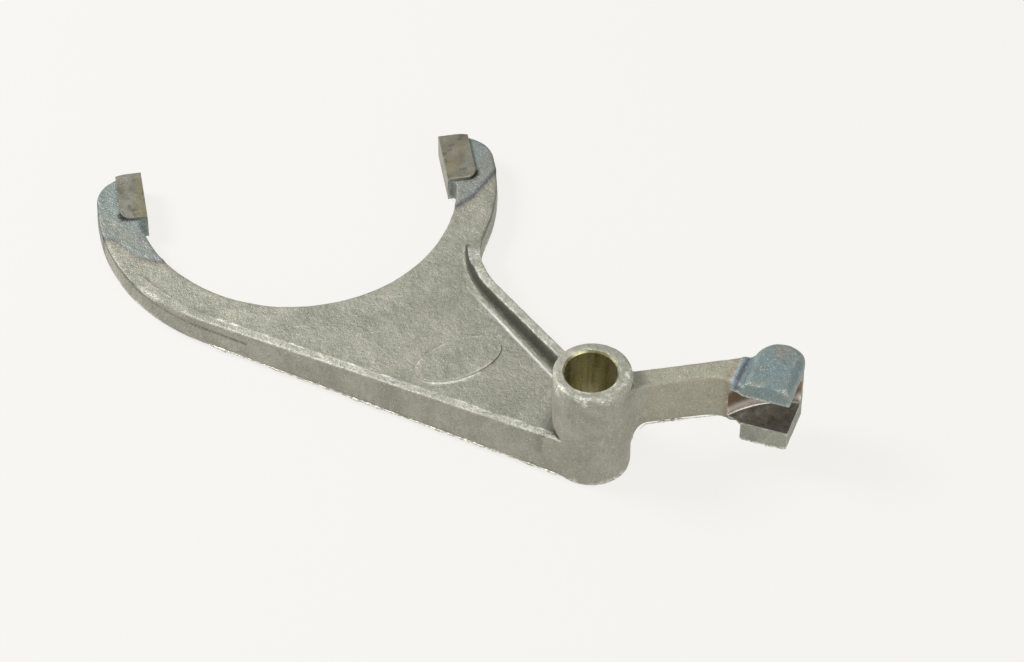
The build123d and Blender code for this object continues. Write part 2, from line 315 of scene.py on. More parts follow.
def add_mesh(
    name: str, points: np.ndarray, faces: np.ndarray, materials: list[bpy.types.Material]
) -> bpy.types.Object:
    """A mesh object at the origin from points in millimetres and rows of point numbers.

    Args:
        name: The piece's name.
        points: Points in millimetres.
        faces: Rows of point numbers.
        materials: The finishes, in the order of their slots.

    Returns:
        The linked object.
    """
    mesh = bpy.data.meshes.new(name)
    mesh.from_pydata((points * MM).tolist(), [], faces.tolist())
    mesh.validate()
    mesh.update()
    for material in materials:
        mesh.materials.append(material)
    piece = bpy.data.objects.new(name, mesh)
    bpy.context.scene.collection.objects.link(piece)
    return piece


def close_ends(mesh: bpy.types.Mesh, total: int, sides: int) -> None:
    """Closes both ends of a tube with one face each and points all faces outwards.

    Args:
        mesh: The tube, with its rings one after another.
        total: How many points it has.
        sides: How many points one ring has.
    """
    work = bmesh.new()
    work.from_mesh(mesh)
    work.verts.ensure_lookup_table()
    work.faces.new([work.verts[k] for k in range(sides)][::-1])
    work.faces.new([work.verts[k] for k in range(total - sides, total)])
    bmesh.ops.recalc_face_normals(work, faces=work.faces)
    work.to_mesh(mesh)
    work.free()


def set_values(mesh: bpy.types.Mesh, name: str, values: np.ndarray) -> None:
    """Stores one number per point as a named attribute."""
    layer = mesh.attributes.new(name, "FLOAT", "POINT")
    layer.data.foreach_set("value", values.astype(np.float32))


class Paint:
    """A node material that is built up step by step on one shader."""

    def __init__(self, name: str, roughness: float, metallic: float) -> None:
        """Starts a material with a plain shader.

        Args:
            name: The material's name.
            roughness: Roughness where no node drives it.
            metallic: Share of metal in the shader.
        """
        self.material = bpy.data.materials.new(name)
        self.material.use_nodes = True
        self.tree = self.material.node_tree
        self.shader = self.tree.nodes["Principled BSDF"]
        self.shader.inputs["Roughness"].default_value = roughness
        self.shader.inputs["Metallic"].default_value = metallic
        self.place = self.tree.nodes.new("ShaderNodeTexCoord").outputs["Object"]

    def value(self, name: str) -> Socket:
        """The mesh's named attribute as a number."""
        node = self.tree.nodes.new("ShaderNodeAttribute")
        node.attribute_name = name
        return node.outputs["Fac"]

    def noise(
        self, per_mm: float, detail: float = 3.0, stretch: tuple[float, float, float] = (1, 1, 1)
    ) -> Socket:
        """Fractal noise on Object coordinates.

        Args:
            per_mm: Waves per millimetre.
            detail: Octaves.
            stretch: Scale of each direction of the pattern.

        Returns:
            The noise's value, round about one half.
        """
        mapping = self.tree.nodes.new("ShaderNodeMapping")
        mapping.inputs["Scale"].default_value = [s * per_mm / MM for s in stretch]
        self.tree.links.new(self.place, mapping.inputs["Vector"])
        node = self.tree.nodes.new("ShaderNodeTexNoise")
        node.inputs["Scale"].default_value = 1.0
        node.inputs["Detail"].default_value = detail
        self.tree.links.new(mapping.outputs["Vector"], node.inputs["Vector"])
        return node.outputs["Fac"]

    def rings(self, centre: tuple[float, float, float], per_mm: float) -> Socket:
        """Circles round an upright axis, as a cutter's feed marks.

        Args:
            centre: A point of the axis in millimetres.
            per_mm: Rings per millimetre.

        Returns:
            The pattern's value from 0 to 1.
        """
        mapping = self.tree.nodes.new("ShaderNodeMapping")
        mapping.vector_type = "POINT"
        mapping.inputs["Location"].default_value = [-c * per_mm for c in centre]
        mapping.inputs["Scale"].default_value = [per_mm / MM] * 3
        self.tree.links.new(self.place, mapping.inputs["Vector"])
        node = self.tree.nodes.new("ShaderNodeTexWave")
        node.wave_type = "RINGS"
        node.rings_direction = "Z"
        node.inputs["Scale"].default_value = 0.3
        node.inputs["Distortion"].default_value = 1.2
        self.tree.links.new(mapping.outputs["Vector"], node.inputs["Vector"])
        return node.outputs["Fac"]

    def ramp(self, source: Socket, stops: list[tuple[float, float]]) -> Socket:
        """A number through a curve of (place, value) stops."""
        return self.stepped(source, [(place, (value,) * 3) for place, value in stops])

    def tones(self, source: Socket, stops: list[tuple[float, str]]) -> Socket:
        """A number turned into colour by (place, colour code) stops."""
        return self.stepped(source, [(place, colour(code)) for place, code in stops])

    def stepped(
        self, source: Socket, stops: list[tuple[float, tuple[float, float, float]]]
    ) -> Socket:
        """A colour ramp with the given stops.

        Args:
            source: The number that runs along the ramp.
            stops: Each stop's place and its scene-linear colour.

        Returns:
            The ramp's colour.
        """
        node = self.tree.nodes.new("ShaderNodeValToRGB")
        elements = node.color_ramp.elements
        while len(elements) < len(stops):
            elements.new(0.5)
        for element, (place, tone) in zip(elements, stops):
            element.position = place
            element.color = (*tone, 1.0)
        self.tree.links.new(source, node.inputs["Fac"])
        return node.outputs["Color"]

    def blend(self, share: Socket, first: Socket, code: str) -> Socket:
        """Mixes a colour, by its code, into a first one by a share.

        Args:
            share: How much of the colour comes in, from 0 to 1.
            first: The colour before.
            code: The second colour's six-digit code.

        Returns:
            The mixed colour.
        """
        node = self.tree.nodes.new("ShaderNodeMix")
        node.data_type = "RGBA"
        self.tree.links.new(share, node.inputs["Factor"])
        self.tree.links.new(first, node.inputs["A"])
        node.inputs["B"].default_value = (*colour(code), 1.0)
        return node.outputs["Result"]

    def times(self, first: Socket, second: Socket) -> Socket:
        """The product of two numbers.

        Args:
            first: One number.
            second: The other.

        Returns:
            Their product.
        """
        node = self.tree.nodes.new("ShaderNodeMath")
        node.operation = "MULTIPLY"
        self.tree.links.new(first, node.inputs[0])
        self.tree.links.new(second, node.inputs[1])
        return node.outputs["Value"]

    def scaled(self, source: Socket, factor: float, shift: float = 0.0) -> Socket:
        """A number times a factor plus a shift, kept from 0 to 1.

        Args:
            source: The number.
            factor: What it is multiplied by.
            shift: What is added.

        Returns:
            The new number.
        """
        node = self.tree.nodes.new("ShaderNodeMath")
        node.operation = "MULTIPLY_ADD"
        node.use_clamp = True
        node.inputs[1].default_value = factor
        node.inputs[2].default_value = shift
        self.tree.links.new(source, node.inputs[0])
        return node.outputs["Value"]

    def bump(self, heights: list[tuple[Socket, float]]) -> None:
        """Stacks bumps, each a height pattern and its depth in millimetres.

        Args:
            heights: The patterns and their depths, from the coarsest to the finest.
        """
        normal = None
        for source, depth in heights:
            node = self.tree.nodes.new("ShaderNodeBump")
            node.inputs["Strength"].default_value = 1.0
            node.inputs["Distance"].default_value = depth * MM
            self.tree.links.new(source, node.inputs["Height"])
            if normal is not None:
                self.tree.links.new(normal, node.inputs["Normal"])
            normal = node.outputs["Normal"]
        self.tree.links.new(normal, self.shader.inputs["Normal"])

    def drive(self, socket: str, source: Socket) -> None:
        """Connects a pattern to one of the shader's inputs."""
        self.tree.links.new(source, self.shader.inputs[socket])


def colour(code: str) -> tuple[float, float, float]:
    """Scene-linear colour of a six-digit screen colour, by the usual display curve.

    Args:
        code: Red, green and blue as two hexadecimal digits each.

    Returns:
        The three linear values.
    """
    value = np.array([int(code[k : k + 2], 16) for k in (0, 2, 4)]) / 255.0
    linear = np.where(value <= 0.04045, value / 12.92, ((value + 0.055) / 1.055) ** 2.4)
    return tuple(float(v) for v in linear)


@dataclass(frozen=True)
class CastSkin:
    """Shot-blasted cast steel: sandy grey, mottled, worn edges, painted shade and highlights."""

    grain_per_mm: float = 1.9
    lump_per_mm: float = 0.32
    mottle_per_mm: float = 0.07

    def build(self) -> bpy.types.Material:
        """The node material of the rough casting.

        Returns:
            The finished material.
        """
        paint = Paint("cast_steel_skin", 0.5, 0.55)
        mottle = paint.noise(self.mottle_per_mm, 4.0)
        body = paint.tones(mottle, [(0.3, "8d8d80"), (0.5, "9a9a8c"), (0.7, "a5a496")])
        patch = paint.ramp(paint.noise(0.15, 5.0), [(0.42, 0.0), (0.66, 0.4)])
        body = paint.blend(patch, body, "7f8177")
        streaks = paint.ramp(paint.noise(0.5, 4.0, (1.0, 1.0, 0.35)), [(0.52, 0.0), (0.68, 0.3)])
        body = paint.blend(streaks, body, "b0b0a4")
        body = paint.blend(paint.scaled(paint.value("lever"), 0.5), body, "a39e8a")
        body = paint.blend(paint.value("blue"), body, "6d7678")
        body = paint.blend(paint.value("teal"), body, "728c92")
        flecks = paint.ramp(paint.noise(0.42, 5.0), [(0.48, 0.0), (0.60, 0.75)])
        body = paint.blend(paint.times(paint.value("teal"), flecks), body, "8f9388")
        body = paint.blend(paint.value("warm"), body, "93806c")
        body = paint.blend(paint.value("violet"), body, "5d5b70")
        body = paint.blend(paint.value("pale_ridge"), body, "9fb0b6")
        body = paint.blend(paint.value("stain"), body, "9a9566")
        grain = paint.noise(self.grain_per_mm, 2.0)
        dark = paint.ramp(grain, [(0.34, 0.45), (0.46, 0.0)])
        body = paint.blend(dark, body, "5c5c50")
        light = paint.ramp(paint.noise(1.6, 3.0), [(0.60, 0.0), (0.70, 0.5)])
        body = paint.blend(light, body, "cfcfc4")
        # Painted shade: darkens hollows, the far rib's valley and the hub's foot, with a dark
        # line along the arms' edge and part of the tips' dark heat line.
        body = paint.blend(paint.value("painted_shade"), body, "38372e")
        # Bright wear on edges and torn places, with a painted highlight on the ribs' crests.
        torn = paint.ramp(paint.noise(1.3, 4.0), [(0.43, 0.12), (0.57, 1.0)])
        bright = paint.times(paint.value("wear_and_highlight"), torn)
        body = paint.blend(bright, body, "d6d6cc")
        # Painted highlights: white lines along the far rib's foot, the oval's lower left edge and
        # the near rib's crest.
        body = paint.blend(paint.value("painted_highlights"), body, "fbfbf4")
        paint.drive("Base Color", body)
        paint.drive("Roughness", paint.ramp(paint.noise(0.6, 3.0), [(0.3, 0.66), (0.7, 0.48)]))
        paint.bump(
            [
                (paint.noise(self.lump_per_mm, 5.0), 0.65),
                (paint.noise(self.grain_per_mm, 3.0), 0.24),
            ]
        )
        return paint.material


@dataclass(frozen=True)
class GroundPad:
    """Ground pad, heat-coloured golden brown, with stains and fine grinding lines."""

    def build(self) -> bpy.types.Material:
        """The node material of the two pads.

        Returns:
            The finished material.
        """
        paint = Paint("ground_pad", 0.38, 0.75)
        tones = [(0.34, "838279"), (0.5, "918e7d"), (0.66, "9b9a90")]
        body = paint.tones(paint.noise(0.16, 4.0), tones)
        gold = paint.ramp(paint.noise(0.11, 3.0, (1.6, 0.7, 1.0)), [(0.50, 0.0), (0.62, 0.45)])
        body = paint.blend(gold, body, "9d9465")
        rust = paint.ramp(paint.noise(0.19, 4.0, (1.8, 0.5, 1.0)), [(0.60, 0.0), (0.68, 0.3)])
        body = paint.blend(rust, body, "a87f5f")
        stain = paint.ramp(paint.noise(0.30, 4.0), [(0.56, 0.0), (0.68, 0.6)])
        body = paint.blend(stain, body, "5e5d52")
        pits = paint.ramp(paint.noise(2.2, 2.0), [(0.38, 0.3), (0.5, 0.0)])
        body = paint.blend(pits, body, "56554c")
        paint.drive("Base Color", body)
        paint.drive("Roughness", paint.ramp(paint.noise(0.4, 3.0), [(0.3, 0.30), (0.7, 0.46)]))
        grinding = paint.noise(1.4, 2.0, (3.0, 0.12, 1.0))
        paint.bump([(grinding, 0.03), (paint.noise(2.5, 2.0), 0.03)])
        return paint.material


@dataclass(frozen=True)
class OiledBore:
    """Reamed bore wall with fine turning rings and a brown oil film."""

    def build(self) -> bpy.types.Material:
        """The node material of the rail's bore.

        Returns:
            The finished material.
        """
        paint = Paint("oiled_bore", 0.28, 0.85)
        tones = [(0.3, "98916a"), (0.5, "b4ad86"), (0.7, "cfcbb0")]
        body = paint.tones(paint.noise(0.05, 3.0, (1.0, 1.0, 0.5)), tones)
        streak = paint.ramp(paint.noise(0.5, 4.0, (1.0, 1.0, 0.12)), [(0.45, 0.0), (0.65, 0.55)])
        body = paint.blend(streak, body, "5c563a")
        paint.drive("Base Color", body)
        paint.drive("Roughness", paint.ramp(paint.noise(0.3, 3.0), [(0.3, 0.20), (0.7, 0.38)]))
        paint.bump([(paint.noise(1.2, 2.0, (0.15, 0.15, 3.0)), 0.03)])
        return paint.material


@dataclass(frozen=True)
class MilledSlot:
    """Milled slot: disc cutter feed rings, streaks, temper colours and painted highlight at its
    root.
    """

    def build(self) -> bpy.types.Material:
        """The node material of the gate's slot.

        Returns:
            The finished material.
        """
        paint = Paint("milled_slot", 0.34, 0.8)
        axis = (SIZES.slot_root_x, SIZES.slot_root_y - SIZES.cutter_radius, 0.0)
        rings = paint.rings(axis, 2.2)
        tones = [(0.3, "50514a"), (0.5, "6c6d65"), (0.7, "8c8c82")]
        body = paint.tones(paint.noise(0.35, 4.0), tones)
        body = paint.blend(paint.ramp(rings, [(0.3, 0.0), (0.8, 0.45)]), body, "a9a99e")
        body = paint.blend(paint.scaled(paint.value("straw"), 0.75), body, "8b6f52")
        streaks = paint.ramp(paint.noise(0.9, 4.0), [(0.55, 0.0), (0.68, 0.6)])
        body = paint.blend(streaks, body, "4c4c44")
        # Painted highlight along the slot's root wall.
        body = paint.blend(paint.value("glow"), body, "fbeee6")
        paint.drive("Base Color", body)
        paint.bump([(rings, 0.03), (paint.noise(1.8, 2.0), 0.04)])
        return paint.material


@dataclass(frozen=True)
class BrightFlash:
    """Torn bright metal where flash was trimmed off the parting line."""

    def build(self) -> bpy.types.Material:
        """The node material of the trimmed edges.

        Returns:
            The finished material.
        """
        paint = Paint("trimmed_flash", 0.42, 0.6)
        tones = [(0.34, "a0a096"), (0.5, "cbcbc1"), (0.66, "eeeee6")]
        body = paint.tones(paint.noise(0.8, 4.0), tones)
        paint.drive("Base Color", body)
        paint.bump([(paint.noise(1.1, 4.0), 0.3)])
        return paint.material


@dataclass
class Casting:
    """The fork's body: the solid's own form with a cast skin and its machined faces.

    Lengths are in millimetres and the angle is in degrees. The even share and the length
    cost steer the thinning, which puts them together for each edge.
    """

    longest_edge: float = 1.35
    skin_lumps: float = 0.07
    skin_waves: float = 0.10
    heat_ridge: float = 0.22
    neck_ridge: float = 0.38
    smooth_angle: float = 32.0
    most_triangles: int = 190000
    even_share: float = 0.5
    length_cost: float = 0.001
    machined_share: float = 0.08

    def zones(self, points: np.ndarray, triangles: np.ndarray) -> np.ndarray:
        """The finish of each triangle, from its middle and the way it looks.

        Args:
            points: Points in millimetres.
            triangles: Rows of three point numbers.

        Returns:
            One Zone number per triangle.
        """
        middle = points[triangles].mean(axis=1)
        normal = face_normals(points, triangles)
        zone = np.full(len(triangles), Zone.CAST.value)
        at_tips = middle[:, 1] > SIZES.sleeve_y - SIZES.pad_reach
        upper = at_tips & (middle[:, 2] > SIZES.plate_top + 0.9)
        lower = at_tips & (middle[:, 2] < SIZES.pad_foot + 0.3)
        aside = np.abs(middle[:, 0] - SIZES.sleeve_x)
        inner = at_tips & (np.abs(aside - SIZES.pad_half_gap) < 0.1)
        zone[upper | lower | inner] = Zone.PAD.value
        radius = np.hypot(middle[:, 0], middle[:, 1])
        zone[radius < SIZES.bore_radius + SIZES.bore_chamfer] = Zone.BORE.value
        from_axis = self.from_cutter_axis(middle)
        in_slot = (
            (middle[:, 0] > SIZES.gate_from)
            & (from_axis < SIZES.cutter_radius + 0.05)
            & (middle[:, 2] > SIZES.slot_low - 0.05)
            & (middle[:, 2] < SIZES.slot_high + 0.05)
            & ((np.abs(normal[:, 2]) > 0.98) | (from_axis > SIZES.cutter_radius - 1.0))
        )
        zone[in_slot] = Zone.SLOT.value
        return zone

    def displaced(
        self, points: np.ndarray, triangles: np.ndarray, zone: np.ndarray, normals: np.ndarray
    ) -> np.ndarray:
        """Points moved along their normals by two layers of noise and two low ridges.

        Machined faces move by about a hundredth of a millimetre, so that the thinning
        leaves them even points, and the level underside doesn't move.

        Args:
            points: Points in millimetres.
            triangles: Rows of three point numbers.
            zone: One Zone number per triangle.
            normals: The points' unit normals.

        Returns:
            The moved points.
        """
        x, y, z = points.T
        machined = np.zeros(len(points))
        machined[triangles[zone != Zone.CAST.value].reshape(-1)] = 1.0
        free = 1.0 - np.clip(neighbour_mean(machined, triangles, 1) * 3.0 + machined, 0.0, 1.0)
        wave = lattice_noise(points, 11.0, 5) * self.skin_waves
        lump = lattice_noise(points, 3.1, 9) * self.skin_lumps
        ridge = band(self.past_heat_line(x, y), 1.4, 1.3) * (y > MARKS.tips_from) * (z > 9.0)
        wave += self.heat_ridge * ridge
        beyond = self.past_neck(x, y)
        collar = band(beyond, 0.2, 1.2) - band(beyond, 2.9, 1.1)
        wave += self.neck_ridge * collar * (x > 42.0)
        free = np.maximum(free, self.machined_share)
        free[z < 0.05] = 0.0
        return points + normals * ((wave + lump) * free)[:, None]

    def masks(
        self, points: np.ndarray, triangles: np.ndarray, normals: np.ndarray
    ) -> dict[str, np.ndarray]:
        """The shares of each tint, kind of wear, painted shade and painted highlight at every
        point.

        Args:
            points: Points in millimetres.
            triangles: Rows of three point numbers.
            normals: The points' unit normals.

        Returns:
            One array from 0 to 1 for each attribute that the finishes read.
        """
        x, y, z = points.T
        bend = curvature(points, triangles, normals)
        # Painted shade in concave places, standing in for occlusion.
        hollow = smooth_step(0.015, 0.09, neighbour_mean(bend, triangles, 3))
        # The painted shade takes the shadows below and part of the tips' dark heat line.
        painted_shade = hollow + self.shadows(points, normals) + 0.4 * self.heat_shade(points)
        # Painted highlight on the slot's root wall, in two bands along its height.
        glow = band(z, 24.8, 1.9) + 0.6 * band(z, 35.6, 0.9)
        from_axis = self.from_cutter_axis(points)
        return self.heat_tints(points) | {
            "wear_and_highlight": self.wear_and_highlight(points, normals, bend),
            "painted_shade": np.clip(painted_shade, 0.0, 1.0),
            "painted_highlights": self.painted_highlights(points),
            "glow": glow * (from_axis > SIZES.cutter_radius - 1.4),
            "straw": smooth_step(36.0, 39.5, from_axis) * (z > 26.0),
            "stain": 0.5 * band(x, -91.0, 2.6) * band(y, 57.0, 2.0) * (z > MARKS.web_low),
            "lever": smooth_step(16.0, 24.0, x) * smooth_step(60.0, 50.0, x),
        }

    def heat_shade(self, points: np.ndarray) -> np.ndarray:
        """The dark line at the foot of each tip's tint."""
        x, y, _ = points.T
        return band(self.past_heat_line(x, y), -0.6, 1.3) * (y > MARKS.tips_from)

    def heat_tints(self, points: np.ndarray) -> dict[str, np.ndarray]:
        """Temper colours of the two tips and the gate.

        A tip's tint begins at a slanting line, with a violet shade and a paler ridge, and
        turns from blue-grey to teal towards its end. The gate is blue-grey, and teal on
        top, past a warm band, a pale ring and a violet one.

        Args:
            points: Points in millimetres.

        Returns:
            One array for each tint.
        """
        x, y, z = points.T
        on_arm = y > MARKS.tips_from
        on_left = x < SIZES.sleeve_x
        on_gate = x > MARKS.tinted_from
        on_top = smooth_step(24.0, 40.0, z)
        over = self.past_heat_line(x, y)
        beyond = self.past_neck(x, y)
        gate = smooth_step(-0.8, 1.0, beyond)
        wave = lattice_noise(points, 4.0, 21)
        blue = 0.8 * smooth_step(-1.3, 1.5, over) * on_arm * (0.8 + 0.2 * wave)
        blue = np.clip(blue + gate * (0.9 + 0.3 * lattice_noise(points, 5.0, 35)), 0.0, 1.0)
        blue = np.where(on_gate, blue * (0.25 + 0.75 * on_top), blue)
        teal = smooth_step(9.0, 17.0, over + 2.5 * lattice_noise(points, 6.0, 33)) * on_arm
        mottle = 0.7 + 0.5 * lattice_noise(points, 4.2, 36)
        teal = np.clip(0.5 * teal + gate * on_top * mottle, 0.0, 1.0)
        warm = 0.3 * band(over, -2.8, 1.6) * on_arm + 0.7 * band(beyond, -1.9, 1.3) * on_gate
        warm += 0.6 * band(x, 73.0, 2.4) * band(y, 2.0, 4.0) * (z > 40.0)
        violet = 0.7 * band(beyond, 2.2, 1.1) * (z < 44.0)
        violet += np.where(on_left, 0.4, 0.75) * self.heat_shade(points)
        rim = np.where(on_left, 0.3, 0.12) * band(over, 1.8, 1.7) * on_arm
        ring = band(beyond, 0.3, 0.8) * (z > 14.0)
        return {
            "blue": 0.75 * blue,
            "teal": 0.7 * teal,
            "warm": np.clip(warm, 0.0, 1.0),
            "violet": np.clip(violet, 0.0, 1.0),
            "pale_ridge": np.clip(0.8 * rim + 0.8 * ring, 0.0, 1.0),
        }

    def wear_and_highlight(self, points: np.ndarray, normals: np.ndarray, bend: np.ndarray) -> np.ndarray:
        """Bright wear on convex edges and where the casting was torn or rubbed, with painted
        highlight.

        It adds the near wall's foot, the hub's rim and flecks, the ribs' crests and the
        lower lug's edge. The crests are partly torn metal and partly a painted highlight.

        Args:
            points: Points in millimetres.
            normals: The points' unit normals.
            bend: The surface's curvature at the points.

        Returns:
            One share per point, from 0 to 1.
        """
        x, y, z = points.T
        radius = np.hypot(x, y)
        edges = smooth_step(0.02, 0.10, -bend)
        edges *= smooth_step(-0.5, 0.5, lattice_noise(points, 4.0, 21) + 0.2)
        foot = smooth_step(3.6, 2.2, z) * ((z < 6.0) & (normals[:, 1] < -0.3))
        foot *= patches(points, 7.0, 41, -0.1, 0.5)
        rim = band(z, 47.9, 0.7) * (radius > 12.6) * smooth_step(6.0, -8.0, y)
        rim *= patches(points, 2.6, 51, -0.6, 0.5)
        # The crests: partly torn metal, partly a painted highlight on the upward-facing rib tops.
        crest = smooth_step(0.6, 0.9, normals[:, 2]) * (y < 110.0) * (x < 5.0)
        crest *= smooth_step(MARKS.crest_low, 13.4, z) * (z < MARKS.crest_high)
        crest *= 0.45 + 0.55 * patches(points, 5.0, 52, -0.35, 0.45)
        crest *= 0.2 + 0.4 * smooth_step(-140.0, -95.0, x)
        lug = smooth_step(13.6, 12.8, z) * (x > 50.0) * patches(points, 1.8, 53, -0.5, 0.3)
        fleck = 1.6 * patches(points, 1.7, 54, 0.1, 0.5) * (radius > 13.0) * (radius < 16.5)
        fleck *= smooth_step(41.0, 47.0, z) * (y < 2.0) + smooth_step(4.5, 1.0, z)
        worn_and_lit = np.clip(edges + 0.8 * foot + 0.8 * rim + crest, 0.0, 1.0)
        return np.clip(worn_and_lit + 0.9 * lug + 0.9 * fleck, 0.0, 1.0)

    def shadows(self, points: np.ndarray, normals: np.ndarray) -> np.ndarray:
        """Painted shade in the far rib's valley and at the hub's foot, and a dark line along the
        arms' edge.

        Args:
            points: Points in millimetres.
            normals: The points' unit normals.

        Returns:
            One share per point.
        """
        x, y, z = points.T
        across = beside(x, y, MARKS.rib_place, MARKS.rib_across)
        valley = smooth_step(0.25, 0.6, -normals[:, 0]) * (z > 11.0) * (z < 20.2) * (y > 13.0)
        valley *= (x > -48.0) * smooth_step(13.0, 4.0, z - SIZES.plate_top)
        strip = smooth_step(6.6, 8.4, across) * (across < 13.0) * (z > 10.5) * (z < 13.0)
        strip *= smooth_step(14.0, 22.0, y) * smooth_step(84.0, 74.0, y)
        valley = np.clip(valley * (across > 2.0) + 0.8 * strip, 0.0, 1.0)
        near_hub = smooth_step(25.0, 16.0, np.hypot(x, y)) * (x < -2.0) * (y > -4.0)
        near_hub *= (z > 10.5) * (z < MARKS.crest_high)
        from_sleeve = np.hypot(x - SIZES.sleeve_x, y - SIZES.sleeve_y)
        arm_edge = band(z, 9.9, 0.5) * (from_sleeve > 76.0) * (y > 70.0)
        return 0.85 * valley + 0.5 * near_hub + 0.7 * arm_edge

    def painted_highlights(self, points: np.ndarray) -> np.ndarray:
        """Painted highlights: bright lines on the web and the near rib.

        They lie along the far rib's foot, on the lower left of the oval's edge and along
        the near rib's torn crest. The oval's edge is where x and y over its radii make a length
        of 1.

        Args:
            points: Points in millimetres.

        Returns:
            One share per point, from 0 to 1.
        """
        x, y, z = points.T
        across = beside(x, y, MARKS.rib_place, MARKS.rib_across)
        foot = band(across, 6.2, 0.45) * (z > MARKS.web_low) * (z < 11.6)
        foot *= smooth_step(20.0, 32.0, y) * smooth_step(90.0, 62.0, y)
        cos, sin = np.cos(MARKS.oval_turn), np.sin(MARKS.oval_turn)
        along = beside(x, y, MARKS.oval_place, (cos, sin))
        aside = beside(x, y, MARKS.oval_place, (-sin, cos))
        oval = np.hypot(along / MARKS.oval_radii[0], aside / MARKS.oval_radii[1])
        edge = band(oval, 1.0, 0.035) * (z > MARKS.web_low) * (z < MARKS.web_high)
        edge *= smooth_step(8.0, 0.0, along) * (aside < 0.0) * smooth_step(-19.0, -12.0, along)
        outward = beside(x, y, MARKS.wall_place, MARKS.wall_across)
        crest = band(outward, -4.3, 0.55) * (z > MARKS.crest_low) * (z < MARKS.crest_high)
        crest *= (y < 82.0) * patches(points, 3.0, 61, -0.1, 0.5) * (x < -16.0)
        return np.clip(0.9 * foot + 0.9 * edge + 0.8 * crest, 0.0, 1.0)

    def from_cutter_axis(self, points: np.ndarray) -> np.ndarray:
        """How far points lie from the upright axis of the slot's disc cutter."""
        return np.hypot(
            points[:, 0] - SIZES.slot_root_x,
            points[:, 1] - SIZES.slot_root_y + SIZES.cutter_radius,
        )

    def past_heat_line(self, x: np.ndarray, y: np.ndarray) -> np.ndarray:
        """How far a point lies past its arm's heat line, along Y, in millimetres.

        The line is a bent one over X on each arm, and the arms part at the sleeve's middle.

        Args:
            x: The points' X.
            y: The points' Y.

        Returns:
            One distance per point.
        """
        left = np.interp(x, *zip(*LEFT_HEAT_LINE))
        right = np.interp(x, *zip(*RIGHT_HEAT_LINE))
        return y - np.where(x < SIZES.sleeve_x, left, right)

    def past_neck(self, x: np.ndarray, y: np.ndarray) -> np.ndarray:
        """How far a point lies past the gate's neck, a bent line over Y, along X."""
        return x - np.interp(y, *zip(*NECK_LINE))

    def thinned(self, piece: bpy.types.Object) -> bpy.types.Mesh:
        """Merges points until few enough triangles are left.

        Every point has the same share in one group, so each edge's cost grows with its
        length: short edges go first, and a merged point is put where it keeps to the
        planes round it.

        Args:
            piece: The body with its full mesh, values and finishes.

        Returns:
            The body's new mesh.
        """
        full = piece.data
        even = piece.vertex_groups.new(name="even")
        even.add(range(len(full.vertices)), self.even_share, "REPLACE")
        thinner = piece.modifiers.new("thinner", "DECIMATE")
        thinner.ratio = self.most_triangles / len(full.polygons)
        thinner.vertex_group = even.name
        thinner.vertex_group_factor = self.length_cost
        graph = bpy.context.evaluated_depsgraph_get()
        mesh = bpy.data.meshes.new_from_object(piece.evaluated_get(graph))
        piece.modifiers.clear()
        piece.vertex_groups.clear()
        piece.data = mesh
        bpy.data.meshes.remove(full)
        mesh.name = piece.name
        return mesh

    def build(self) -> bpy.types.Object:
        """The finished body, which stands for the solid in the picture.

        Returns:
            The body's object.
        """
        points, triangles = mesh_arrays(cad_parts["shift_fork"].data)
        for _ in range(8):
            before = len(triangles)
            points, triangles = split_long_edges(points, triangles, self.longest_edge)
            if len(triangles) == before:
                break
        zone = self.zones(points, triangles)
        normals = point_normals(points, triangles)
        values = self.masks(points, triangles, normals)
        moved = self.displaced(points, triangles, zone, normals)
        finishes = [kind().build() for kind in (CastSkin, GroundPad, OiledBore, MilledSlot)]
        piece = add_mesh("fork_casting", moved, triangles, finishes)
        mesh = piece.data
        mesh.polygons.foreach_set("material_index", zone.astype(np.int32))
        for name, value in values.items():
            set_values(mesh, name, value)
        mesh = self.thinned(piece)
        mesh.shade_smooth()
        mesh.set_sharp_from_angle(angle=np.radians(self.smooth_angle))
        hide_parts("shift_fork")
        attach(piece, "root")
        LOG.info("%s: %d triangles", piece.name, len(mesh.polygons))
        return piece


@dataclass(frozen=True)
class FlashRun:
    """One run of trimmed flash: its path's corners and height, and how wide it stands."""

    name: str
    path: tuple[tuple[float, float, float], ...]
    width: float
    thickness: float
    seed: int


